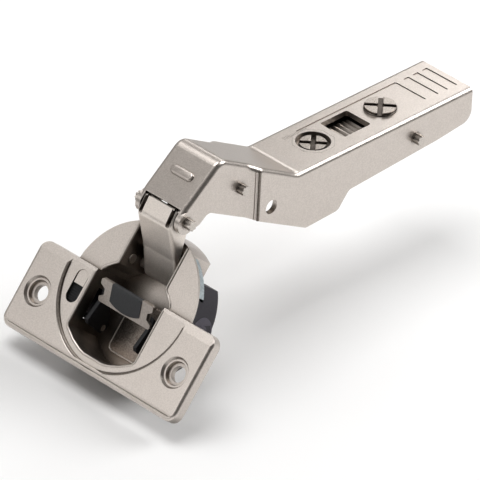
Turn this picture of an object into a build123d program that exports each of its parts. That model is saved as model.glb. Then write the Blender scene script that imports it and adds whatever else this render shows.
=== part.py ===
from build123d import *
import os
from math import asin, atan2, cos, degrees, pi, radians, sin, sqrt, tan

os.makedirs("parts", exist_ok=True)

# Concealed cup hinge, angled arm, shown fully open. Millimetres.
# The origin is the clip seat under the arm's window. +X runs to the rear of the arm, +Z away from
# the cabinet side that carries the mounting plate.

# Fits
running = 0.05
seat_gap = 0.1
swing_gap = 0.3

# Arm: one folded sheet. Its outline is measured from the rear end (x) and the flat top (z).
arm_rear_x = 34.0
arm_top_z = 9.5
arm_sheet = 1.4
fold_radius, fold_margin = 1.2, 12.0
arm_half = 8.55
front_half = 7.0
joggle_x = -70.4
joggle_run = 2.6
knee_x = -58.0
peak_x, peak_z = -82.0, 13.0
web_end_x, web_end_z = -92.6, 4.5
rear_depth, rear_corner = 8.5, 3.0
kink_x, kink_depth = -11.3, 9.7
rail_x, rail_depth = -40.6, 11.3
belly_front_x, belly_depth = -54.6, 15.9
belly_rear_x = -44.1
throat_x, throat_z = -85.6, 0.5
chin_x, chin_z = -88.4, -1.6
lower_bend = 2.0
nose_radius, nose_start, nose_end = 2.9, -77, 145
knee_radius = 4.0
peak_radius = 3.2

# Pins in the arm, from the arm's rear end and top
outer_pin_x, outer_pin_z, outer_pin_r = -92.4, 0.45, 1.5
inner_pin_x, inner_pin_z, inner_pin_r = -75.5, 2.9, 1.3
rear_pin_x, rear_pin_z, rear_pin_r = -18.7, -6.1, 1.5
pin_stand = 0.45
side_hole_x, side_hole_z, side_hole_r = -66.5, -5.2, 1.8

# Openings and pressed marks in the arm's top
window_front, window_rear, window_half = -38.4, -29.5, 4.0
screw_line_y = -0.4
side_screw_x = -45.0
depth_cam_x = -22.8
groove_width, groove_depth = 0.5, 0.22
rib_rear_x, rib_pitch, rib_count, rib_half = -1.85, 3.1, 3, 5.0
scale_rear_x, scale_front_x, scale_y = -12.0, -45.0, 5.1
bead_x, bead_length, bead_width, bead_rise = -87.5, 6.5, 1.5, 0.4

# Fold: the outer link hangs from the arm, the cup stands on the link's other end
link_length = 17.874
link_lean = 3.2
cup_tilt = 51.355
cup_outer_x, cup_outer_z, cup_outer_r = 8.0, -10.2, 1.2
cup_inner_x, cup_inner_z, cup_inner_r = 12.26, -7.59, 1.0

# Cup: drawn from one sheet. x runs up the door plane to the arm side, z is 0 on the wing plate.
cup_radius = 17.4
cup_sheet = 0.85
pocket_floor = -12.8
flange_radius = 18.2
flange_top, door_face = -2.3, -3.1
wing_low, wing_high, wing_span = -20.0, 2.0, 56.6
wing_corner = 2.6
wing_sheet = 1.0
wing_edge = 0.95
lip_width, lip_drop = 1.7, 0.75
dish_radius, dish_depth = 18.9, 0.55
pocket_low, pocket_high, pocket_inset = -16.25, 5.4, 6.5
step_low, step_high, step_inset = 2.2, 3.7, 1.2
pocket_half = cup_radius - pocket_inset
step_half = pocket_half - step_inset
floor_roll = 1.8
slot_half = 7.55
slot_wall_top = -4.6
slot_lip = 1.5
screw_x, screw_pitch = -9.5, 45.0
screw_hole_r, screw_seat_r, screw_rim_r = 1.95, 2.6, 3.3
screw_ledge, screw_seat, ledge_flare, seat_flare = -0.7, -1.6, 35, 18
bend_width, bend_drop = 2.3, 0.9
port_low, port_high, port_top, port_floor = -9.9, -2.0, -4.7, -10.5

# On/off slider in the wing plate, on the +Y side
switch_low, switch_high, switch_wall, switch_width = -8.0, 0.3, 1.0, 3.5
switch_inner_y = pocket_half + switch_wall
switch_outer_y = switch_inner_y + switch_width
switch_tongue_x = -3.4
tongue_floor, tongue_top, tongue_slit = -1.2, -0.75, 0.25
slider_end, slider_sheet, ridge_width, thumb_pitch, thumb_count = -2.2, 0.75, 0.3, 0.55, 4
switch_plate_floor, switch_thumb_top = -2.9, -1.25

# Outer link
link_half = 5.4
link_sheet = 1.2
link_ear_r = 2.7
link_foot_r = 2.15
link_waist, link_waist_x = 2.4, 10.5
lip_top_x, lip_top_z = -3.1, -1.5
lip_bend_x, lip_bend_z = 0.4, -4.1
relief_width, relief_y, relief_end = 1.1, 4.35, 0.9

# Inner link
inner_half = 3.5
inner_sheet = 1.0
inner_foot_r = 1.85
inner_neck_x, inner_neck_z = 13.6, -5.7
inner_knee_x, inner_crown_x, inner_crown_z = 17.1, 21.5, -2.3
inner_bend = 1.5
inner_eye_r, inner_eye_bore_r = 3.1, 2.45
eye_shift_x, eye_shift_z = -0.9, -0.69

# Damper lever across the pocket
lever_pivot_x, lever_pivot_z, lever_pivot_r = -9.7, -8.7, 0.8
lever_top_x, lever_top_z = 0.8, -0.33
lever_low_x, lever_low_z = -4.45, -3.05
lever_half, lever_sheet = 8.35, 0.9
lever_notch_r, lever_notch_run = 1.6, 2.8
pad_half, pad_start, pad_bow, pad_rise = 4.8, 1.45, 1.15, 0.15
cheek_sheet, cheek_reach = 0.95, 2.9
cheek_edge = [(-9.4, -2.0), (-10.2, -2.7), (-11.1, -8.4), (-9.7, -10.1), (-6.9, -9.2), (-5.0, -7.6),
              (-2.2, -4.6)]
finger_x, finger_z, finger_r, finger_room = -9.1, -5.6, 0.6, 1.0

# Dampers in their plastic housings
housing_top, housing_floor = -3.3, -13.4
housing_low, housing_high, housing_corner = -12.0, 10.6, 1.6
housing_step_low, housing_step_high, housing_step_inset, housing_step_run = 3.0, 4.7, 0.1, 1.1
housing_step_y = pocket_half - housing_step_inset
chamber_low, chamber_high, chamber_wall = -11.2, -2.2, 1.4
chamber_top, chamber_floor = -4.0, -9.4
damper_inset, damper_z, damper_r = 3.45, -6.3, 1.5
rod_grip = 3.5
damper_low, damper_high = -2.2, 6.0
damper_rod_r, damper_foot_r, damper_foot_sheet = 0.6, 1.4, 0.8
damper_gap, damper_stroke = 0.12, 2.5
damper_y = cup_radius - damper_inset
chamber_outer = cup_radius - chamber_wall
finger_reach = chamber_outer - finger_room
strip_end, strip_drop, strip_sheet = 64.0, 3.0, 0.7

# Adapter: the inner channel that clips to the mounting plate
adapter_rear, adapter_front = -2.6, -56.0
adapter_top, adapter_depth, adapter_hook_depth = -2.95, 9.5, 13.2
adapter_half, adapter_sheet = 6.6, 1.3
depth_travel = 1.5

# Screws
screw_head_r, screw_head_drop, screw_head_sheet = 3.4, 0.35, 1.0
screw_shank_r, screw_neck_r, screw_foot_r = 2.5, 1.5, 2.8
screw_neck_length, screw_foot_sheet = 3.2, 1.0
bush_half, bush_bore_r, bush_depth = 4.9, 4.2, 1.9
cam_head_r, cam_head_rise, cam_body_r, cam_flange_r = 3.95, 0.8, 3.0, 4.0
cam_flange_sheet, cam_stub_r, cam_throw, cam_stub_end = 0.6, 1.5, 2.0, -4.25
cross_width, cross_length, cross_depth = 1.2, 5.4, 0.6

# Release latch at the rear
latch_pin_x, latch_pin_z, latch_pin_r = -8.2, -6.4, 1.0
latch_half = 5.0
latch_front, latch_rear, latch_top, latch_depth = -14.0, -0.6, -4.6, 10.3
latch_belly, latch_fall, latch_leaf_sheet = -8.0, 1.7, 0.3
latch_toe, latch_toe_end, latch_heel, latch_shoulder = 1.5, 3.5, 3.2, 1.8

# Springs
leaf_sheet, leaf_high_x, leaf_low_x, leaf_half = 0.6, -84.5, -88.5, 2.8
leaf_tip_x, leaf_tip_z = -88.9, 4.2

# Planes that carry the sketches
arm_side = Plane(origin=(arm_rear_x, 0, arm_top_z), x_dir=(1, 0, 0), z_dir=(0, -1, 0))
arm_plan = Plane(origin=(arm_rear_x, 0, arm_top_z))

tilt_cos, tilt_sin = cos(radians(cup_tilt)), sin(radians(cup_tilt))
cup_x_dir = Vector(tilt_cos, 0, tilt_sin)
cup_z_dir = Vector(-tilt_sin, 0, tilt_cos)
link_dir = Vector(sin(radians(link_lean)), 0, -cos(radians(link_lean)))
arm_outer_point = Vector(arm_rear_x + outer_pin_x, 0, arm_top_z + outer_pin_z)
cup_outer_point = arm_outer_point + link_dir * link_length
cup_origin = cup_outer_point - cup_x_dir * cup_outer_x - cup_z_dir * cup_outer_z
cup_top = Plane(origin=cup_origin, x_dir=cup_x_dir, z_dir=cup_z_dir)
cup_side = Plane(origin=cup_origin, x_dir=cup_x_dir, z_dir=(0, -1, 0))
cup_up = Axis(cup_origin, cup_z_dir)
link_side = Plane(origin=arm_outer_point, x_dir=link_dir, z_dir=(0, -1, 0))
cup_floor_out = pocket_floor - cup_sheet


def cup_point(x, z):
    """A point of the cup's mid-plane in the part's frame."""
    return cup_origin + cup_x_dir * x + cup_z_dir * z


def mitre(before, corner, after, inset):
    """The corner of a sheet's inner line, where two outer runs meet at an angle."""
    first = atan2(corner[1] - before[1], corner[0] - before[0]) % (2 * pi)
    second = atan2(after[1] - corner[1], after[0] - corner[0]) % (2 * pi)
    middle = (first + second) / 2
    reach = inset / cos((second - first) / 2)
    return (corner[0] - reach * sin(middle), corner[1] + reach * cos(middle))


def near(shape, x, y):
    """The sketch corner nearest a point."""
    return shape.vertices().sort_by_distance((x, y))[0]


def finish(part, name, colour):
    """Name a piece and write its file."""
    part.label = name
    part.color = Color(*colour)
    export_step(part, "parts/" + name + ".step")


nickel = (0.80, 0.77, 0.74)
steel = (0.70, 0.69, 0.67)
dark_plastic = (0.20, 0.20, 0.22)
zinc = (0.62, 0.66, 0.68)

# Arm channel: a solid in the channel's side and plan outlines, less the space between the walls
slope_angle = atan2(peak_z - web_end_z, peak_x - web_end_x)
web_line = [(0, 0), (knee_x, 0), (peak_x, peak_z), (web_end_x, web_end_z)]
inner_knee = mitre(web_line[0], web_line[1], web_line[2], arm_sheet)
inner_peak = mitre(web_line[1], web_line[2], web_line[3], arm_sheet)
inner_end = (web_end_x + arm_sheet * sin(slope_angle), web_end_z - arm_sheet * cos(slope_angle))
beyond = 12.0
web_end_out = (web_end_x - beyond * sin(slope_angle), web_end_z + beyond * cos(slope_angle))
nose_low = (outer_pin_x + nose_radius * cos(radians(nose_start)),
            outer_pin_z + nose_radius * sin(radians(nose_start)))
nose_front = (outer_pin_x + nose_radius * cos(radians(nose_end)),
              outer_pin_z + nose_radius * sin(radians(nose_end)))
below = -belly_depth - beyond
above = peak_z + beyond


def plan_outline(half, narrow):
    """The channel's outline from above, wide at the rear and narrow at the front."""
    return [(beyond, half), (joggle_x, half), (joggle_x - joggle_run, narrow),
            (web_end_x - beyond, narrow), (web_end_x - beyond, -narrow),
            (joggle_x - joggle_run, -narrow), (joggle_x, -half), (beyond, -half)]


with BuildPart() as arm_hollow:
    with BuildSketch(arm_side) as hollow_side:
        with BuildLine():
            Polyline((beyond, -arm_sheet), inner_knee, inner_peak, inner_end, web_end_out,
                     (web_end_x - 2 * beyond, web_end_out[1]), (web_end_x - 2 * beyond, below),
                     (beyond, below), close=True)
        make_face()
        fillet(near(hollow_side, *inner_knee), knee_radius + arm_sheet)
        fillet(near(hollow_side, *inner_peak), peak_radius - arm_sheet)
    extrude(amount=arm_half, both=True)
    with BuildSketch(arm_plan.offset(above)):
        with BuildLine():
            Polyline(*plan_outline(arm_half - arm_sheet, front_half - arm_sheet), close=True)
        make_face()
    extrude(amount=below - above, mode=Mode.INTERSECT)

with BuildPart() as arm_channel:
    with BuildSketch(arm_side) as arm_outline:
        with BuildLine():
            Polyline(*web_line, nose_front, (outer_pin_x, outer_pin_z), nose_low, (chin_x, chin_z),
                     (throat_x, throat_z), (belly_front_x, -belly_depth),
                     (belly_rear_x, -belly_depth + 0.4), (rail_x, -rail_depth),
                     (kink_x, -kink_depth), (0, -rear_depth), close=True)
        make_face()
        with Locations((outer_pin_x, outer_pin_z)):
            Circle(nose_radius)
        fillet(near(arm_outline, knee_x, 0), knee_radius)
        fillet(near(arm_outline, peak_x, peak_z), peak_radius)
        fillet(near(arm_outline, 0, -rear_depth), rear_corner)
        for lower in [(throat_x, throat_z), (belly_front_x, -belly_depth),
                      (belly_rear_x, -belly_depth + 0.4), (rail_x, -rail_depth)]:
            fillet(near(arm_outline, *lower), lower_bend)
    extrude(amount=arm_half, both=True)
    with BuildSketch(arm_plan.offset(above)) as arm_plan_outline:
        with BuildLine():
            Polyline(*plan_outline(arm_half, front_half), close=True)
        make_face()
        for side in [1, -1]:
            fillet(near(arm_plan_outline, joggle_x, side * arm_half), lower_bend)
            fillet(near(arm_plan_outline, joggle_x - joggle_run, side * front_half), lower_bend)
    extrude(amount=below - above, mode=Mode.INTERSECT)
    fold_edges = [e for e in arm_channel.edges()
                  if abs(e.center().Y) > front_half - 0.01
                  and abs(e.tangent_at(0.5).Z) < 0.95
                  and (e.center().Z > arm_top_z - 0.01 if e.center().X > arm_rear_x + knee_x - fold_margin
                       else e.center().Z > arm_top_z + web_end_z - 1)]
    fillet(fold_edges, fold_radius)
    add(arm_hollow.part, mode=Mode.SUBTRACT)
    with BuildSketch(arm_side):
        with Locations((side_hole_x, side_hole_z)):
            Circle(side_hole_r)
        with Locations((outer_pin_x, outer_pin_z)):
            Circle(outer_pin_r)
        with Locations((inner_pin_x, inner_pin_z)):
            Circle(inner_pin_r)
        with Locations((rear_pin_x, rear_pin_z)):
            Circle(rear_pin_r + running)
    extrude(amount=beyond, both=True, mode=Mode.SUBTRACT)
    # window, screw seats
    with BuildSketch(arm_plan):
        with Locations(((window_front + window_rear) / 2, 0)):
            RectangleRounded(window_rear - window_front, 2 * window_half, 0.6)
        with Locations((side_screw_x, screw_line_y)):
            RegularPolygon(bush_half, 8, major_radius=False, rotation=22.5)
        with Locations((depth_cam_x, screw_line_y)):
            Circle(cam_body_r + running)
    extrude(amount=beyond / 2, both=True, mode=Mode.SUBTRACT)
    # pressed ribs and the scale line
    with BuildSketch(arm_plan):
        for index in range(rib_count):
            rib_x = rib_rear_x - index * rib_pitch
            with Locations((rib_x, 0)):
                SlotOverall(2 * rib_half, groove_width, rotation=90)
            with Locations((rib_x - 0.6, rib_half - groove_width / 2)):
                SlotOverall(1.2 + groove_width, groove_width)
        with Locations((scale_rear_x, 0.2)):
            SlotOverall(2 * scale_y - 0.6, groove_width, rotation=90)
        with Locations(((scale_rear_x + scale_front_x) / 2, scale_y)):
            SlotOverall(scale_rear_x - scale_front_x, groove_width)
    extrude(amount=-groove_depth, mode=Mode.SUBTRACT)
    # raised bead on the front slope
    bead_z = web_end_z + (bead_x - web_end_x) * (peak_z - web_end_z) / (peak_x - web_end_x)
    bead_plane = Plane(origin=(arm_rear_x + bead_x, 0, arm_top_z + bead_z), x_dir=(0, 1, 0),
                       z_dir=(-sin(slope_angle), 0, cos(slope_angle)))
    with BuildSketch(bead_plane):
        SlotOverall(bead_length, bead_width)
    extrude(amount=bead_rise, taper=40)

finish(arm_channel.part, "arm_channel", nickel)

# Pins across the arm
for pin_name, pin_x, pin_z, pin_r, pin_reach in [
        ("outer_link_pin", outer_pin_x, outer_pin_z, outer_pin_r, front_half),
        ("inner_link_pin", inner_pin_x, inner_pin_z, inner_pin_r, front_half),
        ("rear_pin", rear_pin_x, rear_pin_z, rear_pin_r, arm_half)]:
    with BuildPart() as arm_pin:
        with BuildSketch(arm_side):
            with Locations((pin_x, pin_z)):
                Circle(pin_r)
        extrude(amount=pin_reach + 0.15, both=True)
        with BuildSketch(arm_side):
            with Locations((pin_x, pin_z)):
                Circle(pin_r - 0.4)
        extrude(amount=pin_reach + pin_stand, both=True)
    finish(arm_pin.part, pin_name, steel)

# Bush riveted in the arm's web, bored for the side screw
with BuildPart() as side_bush:
    with BuildSketch(arm_plan):
        with Locations((side_screw_x, screw_line_y)):
            RegularPolygon(bush_half - running, 8, major_radius=False, rotation=22.5)
            Circle(bush_bore_r, mode=Mode.SUBTRACT)
    extrude(amount=-arm_sheet)
    with BuildSketch(arm_plan.offset(-arm_sheet)):
        with Locations((side_screw_x, screw_line_y)):
            Circle(bush_half)
            Circle(screw_shank_r + running, mode=Mode.SUBTRACT)
    extrude(amount=arm_sheet - bush_depth)
finish(side_bush.part, "side_bush", nickel)

# Side screw: head, shank, neck through the adapter, foot under it
with BuildPart() as side_screw:
    with BuildSketch(arm_plan.offset(-screw_head_drop)):
        with Locations((side_screw_x, screw_line_y)):
            Circle(screw_head_r)
    extrude(amount=-screw_head_sheet)
    with BuildSketch(arm_plan.offset(-screw_head_drop)):
        with Locations((side_screw_x, screw_line_y)):
            Circle(screw_shank_r)
    extrude(amount=screw_head_drop - bush_depth)
    with BuildSketch(arm_plan.offset(-bush_depth)):
        with Locations((side_screw_x, screw_line_y)):
            Circle(screw_neck_r)
    extrude(amount=-screw_neck_length)
    with BuildSketch(arm_plan.offset(-bush_depth - screw_neck_length)):
        with Locations((side_screw_x, screw_line_y)):
            Circle(screw_foot_r)
    extrude(amount=-screw_foot_sheet)
    with BuildSketch(arm_plan.offset(-screw_head_drop)):
        with Locations((side_screw_x, screw_line_y)):
            Rectangle(cross_width, cross_length, rotation=-45)
            Rectangle(cross_length, cross_width, rotation=-45)
    extrude(amount=-cross_depth, mode=Mode.SUBTRACT)
finish(side_screw.part, "side_screw", nickel)

# Depth cam: head on the web, body through it, eccentric stub in the adapter's cross slot
with BuildPart() as depth_cam:
    with BuildSketch(arm_plan.offset(running)):
        with Locations((depth_cam_x, screw_line_y)):
            Circle(cam_head_r)
    extrude(amount=cam_head_rise)
    with BuildSketch(arm_plan.offset(running)):
        with Locations((depth_cam_x, screw_line_y)):
            Circle(cam_body_r)
    extrude(amount=-arm_sheet - 2 * running)
    with BuildSketch(arm_plan.offset(-arm_sheet - running)):
        with Locations((depth_cam_x, screw_line_y)):
            Circle(cam_flange_r)
    extrude(amount=-cam_flange_sheet)
    with BuildSketch(arm_plan.offset(-arm_sheet - running - cam_flange_sheet)):
        with Locations((depth_cam_x, screw_line_y + cam_throw)):
            Circle(cam_stub_r)
    extrude(amount=cam_stub_end + arm_sheet + running + cam_flange_sheet)
    with BuildSketch(arm_plan.offset(cam_head_rise + running)):
        with Locations((depth_cam_x, screw_line_y)):
            Rectangle(cross_width, cross_length)
            Rectangle(cross_length, cross_width)
    extrude(amount=-cross_depth, mode=Mode.SUBTRACT)
    cam_rim = depth_cam.edges().filter_by(GeomType.CIRCLE).sort_by(Axis.Z)[-1]
    fillet(cam_rim, 0.3)
finish(depth_cam.part, "depth_cam", nickel)

# Adapter: a folded channel inside the arm, with ridges under the window and hooks at the front
adapter_under = adapter_top - adapter_sheet
neck_slot = 2 * (depth_travel + screw_neck_r) + 0.5
ridge_pitch, ridge_rise, ridge_count = 1.5, 0.6, 6
ridge_start, ridge_foot, ridge_crest = 0.8, 0.9, 0.55
hook_length, hook_fall, hook_notch, hook_notch_r = 6.5, 2.0, 2.8, 1.6
hook_corner, hook_bend, rail_rise = 0.8, 1.0, 1.2
hook_rear = adapter_front + hook_length
hook_notch_x = adapter_front + hook_notch

with BuildPart() as adapter:
    with BuildSketch(arm_side) as adapter_outline:
        with BuildLine():
            Polyline((adapter_rear, adapter_top), (adapter_front, adapter_top),
                     (adapter_front, -adapter_hook_depth), (hook_rear - hook_fall, -adapter_hook_depth),
                     (hook_rear, -adapter_depth), (adapter_rear, -adapter_depth + rail_rise),
                     close=True)
        make_face()
        with Locations((hook_notch_x, -adapter_hook_depth)):
            Circle(hook_notch_r, mode=Mode.SUBTRACT)
        fillet(near(adapter_outline, adapter_front, -adapter_hook_depth), hook_corner)
        fillet(near(adapter_outline, hook_rear, -adapter_depth), hook_bend)
    extrude(amount=adapter_half, both=True)
    top_edges = adapter.edges().filter_by(Axis.X).sort_by(Axis.Z)[-2:]
    fillet(top_edges, fold_radius)
    with BuildSketch(arm_side):
        with BuildLine():
            Polyline((beyond, adapter_under), (adapter_front - beyond, adapter_under),
                     (adapter_front - beyond, below), (beyond, below), close=True)
        make_face()
    extrude(amount=adapter_half - adapter_sheet, both=True, mode=Mode.SUBTRACT)
    with BuildSketch(arm_side):
        with Locations((rear_pin_x, rear_pin_z)):
            SlotOverall(2 * (depth_travel + rear_pin_r) + 0.3, 2 * (rear_pin_r + running))
        with Locations((latch_pin_x, latch_pin_z)):
            Circle(latch_pin_r)
    extrude(amount=beyond, both=True, mode=Mode.SUBTRACT)
    with BuildSketch(arm_plan.offset(adapter_top)):
        with Locations((depth_cam_x, screw_line_y + cam_throw - 0.35)):
            SlotOverall(2 * cam_stub_r + 1.3, 2 * (cam_stub_r + 0.2), rotation=90)
        with Locations((side_screw_x, screw_line_y)):
            SlotOverall(neck_slot, 2 * screw_neck_r + 0.5)
        with Locations((side_screw_x - neck_slot / 2 - screw_foot_r + 0.9, screw_line_y)):
            Circle(screw_foot_r + 0.3)
    extrude(amount=-adapter_sheet, mode=Mode.SUBTRACT)
    with BuildSketch(arm_side):
        for index in range(ridge_count):
            ridge_x = window_front + ridge_start + index * ridge_pitch
            with BuildLine():
                Polyline((ridge_x, adapter_top), (ridge_x + ridge_foot, adapter_top),
                         (ridge_x + ridge_foot, adapter_top + ridge_rise),
                         (ridge_x + ridge_crest, adapter_top + ridge_rise), close=True)
            make_face()
    extrude(amount=window_half - 0.2, both=True)
finish(adapter.part, "adapter", nickel)

# Release latch behind the hooks, on its own pin, with a leaf spring
with BuildPart() as latch_pin:
    with BuildSketch(arm_side):
        with Locations((latch_pin_x, latch_pin_z)):
            Circle(latch_pin_r)
    extrude(amount=adapter_half, both=True)
finish(latch_pin.part, "latch_pin", steel)

with BuildPart() as release_latch:
    with BuildSketch(arm_side) as latch_outline:
        with BuildLine():
            Polyline((latch_rear, latch_top - 0.1), (latch_pin_x, latch_top - 0.1),
                     (latch_front, latch_top - latch_fall), (latch_front, latch_belly),
                     (latch_front + latch_toe, -latch_depth), (latch_front + latch_toe_end, -latch_depth),
                     (latch_front + latch_heel, latch_belly), (latch_pin_x + latch_shoulder, latch_belly),
                     (latch_rear, latch_top - latch_fall), close=True)
        make_face()
        with Locations((latch_pin_x, latch_pin_z)):
            Circle(latch_pin_r + running, mode=Mode.SUBTRACT)
    extrude(amount=latch_half, both=True)
    latch_edges = release_latch.edges().filter_by(Axis.Y).sort_by(Axis.X)[-2:]
    fillet(latch_edges, 0.5)
finish(release_latch.part, "release_latch", steel)

with BuildPart() as latch_spring:
    with BuildSketch(arm_side):
        with BuildLine():
            Polyline((latch_pin_x - 0.6, adapter_under), (latch_pin_x - 2.6, adapter_under),
                     (latch_front + 0.2, latch_top - 1.25), (latch_front + 0.5, latch_top - 1.45),
                     (latch_pin_x - 2.4, adapter_under - latch_leaf_sheet),
                     (latch_pin_x - 0.6, adapter_under - latch_leaf_sheet), close=True)
        make_face()
    extrude(amount=latch_half - 2.0, both=True)
finish(latch_spring.part, "latch_spring", steel)

# Closing spring: a bent leaf under the arm's front slope
def under_slope(x, drop):
    """A point under the front slope, a distance square to it."""
    top = peak_z + (x - peak_x) * tan(slope_angle)
    return (x + drop * sin(slope_angle), top - drop * cos(slope_angle))


with BuildPart() as closing_spring:
    with BuildSketch(arm_side):
        with BuildLine():
            Polyline(under_slope(leaf_high_x, arm_sheet), under_slope(leaf_low_x, arm_sheet),
                     (leaf_tip_x, leaf_tip_z), (leaf_tip_x + leaf_sheet, leaf_tip_z),
                     under_slope(leaf_low_x + leaf_sheet / 2, arm_sheet + leaf_sheet),
                     under_slope(leaf_high_x, arm_sheet + leaf_sheet), close=True)
        make_face()
    extrude(amount=leaf_half, both=True)
finish(closing_spring.part, "closing_spring", steel)

# Outer link: a folded link, its web rolled round the cup pin, its ears on the arm pin
ear_back_x, ear_back_z = 1.2, 2.4
with BuildPart() as outer_link:
    with BuildSketch(link_side) as link_outline:
        with BuildLine():
            Polyline((lip_top_x, lip_top_z), (lip_bend_x, lip_bend_z), (link_waist_x, -link_waist),
                     (link_length, -link_foot_r), (link_length, 0),
                     (link_length - 2.2, link_sheet - link_foot_r + 0.2),
                     (link_waist_x + 1.0, link_sheet - link_waist + 0.1), (ear_back_x, ear_back_z),
                     (0, 0), close=True)
        make_face()
        with Locations((0, 0)):
            Circle(link_ear_r)
        with Locations((link_length, 0)):
            Circle(link_foot_r)
        fillet(near(link_outline, lip_bend_x, lip_bend_z), 2.0)
    extrude(amount=link_half, both=True)
    web_edges = [e for e in outer_link.edges()
                 if abs(abs(e.center().Y) - link_half) < 0.01
                 and link_side.to_local_coords(e.center()).Y < -link_waist + 0.2
                 and link_side.to_local_coords(e.center()).X < link_length - 1]
    fillet(web_edges, 0.9)
    # the space between the ears, behind the web
    with BuildSketch(link_side):
        with BuildLine():
            Polyline((lip_top_x - 3.0, lip_top_z + 2.2), (lip_top_x + 0.75, lip_top_z + 0.95),
                     (lip_bend_x + 0.6, lip_bend_z + link_sheet), (link_waist_x, link_sheet - link_waist),
                     (link_length - 2.4, link_sheet - link_foot_r), (link_length - 2.4, beyond),
                     (-beyond, beyond), close=True)
        make_face()
        with Locations((link_length, 0)):
            Circle(link_foot_r + running, mode=Mode.SUBTRACT)
    extrude(amount=link_half - link_sheet, both=True, mode=Mode.SUBTRACT)
    with BuildSketch(link_side):
        with Locations((0, 0)):
            Circle(outer_pin_r + running)
        with Locations((link_length, 0)):
            Circle(cup_outer_r + running)
    extrude(amount=beyond, both=True, mode=Mode.SUBTRACT)
    # relief slots beside the lip
    link_front = Plane(origin=arm_outer_point + Vector(-1, 0, 0) * beyond, x_dir=link_dir, z_dir=(1, 0, 0))
    with BuildSketch(link_front):
        with Locations((relief_end - beyond / 2, relief_y), (relief_end - beyond / 2, -relief_y)):
            SlotOverall(beyond, relief_width)
    extrude(amount=beyond + lip_top_z + 1.3, mode=Mode.SUBTRACT)
finish(outer_link.part, "outer_link", nickel)

# Inner link: a rolled strip between the inner cup pin and the inner arm pin
eye_centre = Vector(arm_rear_x + inner_pin_x + eye_shift_x, 0, arm_top_z + inner_pin_z + eye_shift_z)
eye_local = cup_side.to_local_coords(eye_centre)
eye_x, eye_z = eye_local.X, eye_local.Y
fall = atan2(eye_z - inner_crown_z, eye_x - inner_crown_x)
eye_reach = inner_eye_r - inner_sheet / 2
with BuildPart() as inner_link:
    with BuildSketch(cup_side):
        with BuildLine():
            FilletPolyline((inner_neck_x, cup_inner_z), (inner_neck_x, inner_neck_z),
                           (inner_knee_x, inner_crown_z), (inner_crown_x, inner_crown_z),
                           (eye_x - eye_reach * sin(fall), eye_z + eye_reach * cos(fall)), radius=inner_bend)
        trace(line_width=inner_sheet)
        with Locations((cup_inner_x, cup_inner_z)):
            Circle(inner_foot_r)
        with Locations((eye_x, eye_z)):
            Circle(inner_eye_r)
        with Locations((cup_inner_x, cup_inner_z)):
            Circle(cup_inner_r + running, mode=Mode.SUBTRACT)
        with Locations((eye_x, eye_z)):
            Circle(inner_eye_bore_r, mode=Mode.SUBTRACT)
    extrude(amount=inner_half, both=True)
finish(inner_link.part, "inner_link", nickel)


def pocket_outline(grow):
    """The pocket in plan: wide under the plate, narrow towards the arm side."""
    return [(pocket_low - grow, pocket_half + grow), (step_low + grow / 2, pocket_half + grow),
            (step_high + grow, step_half + grow / 2), (pocket_high + grow, slot_half + grow),
            (cup_radius + 3, slot_half + grow), (cup_radius + 3, -slot_half - grow),
            (pocket_high + grow, -slot_half - grow), (step_high + grow, -step_half - grow / 2),
            (step_low + grow / 2, -pocket_half - grow), (pocket_low - grow, -pocket_half - grow)]


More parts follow.
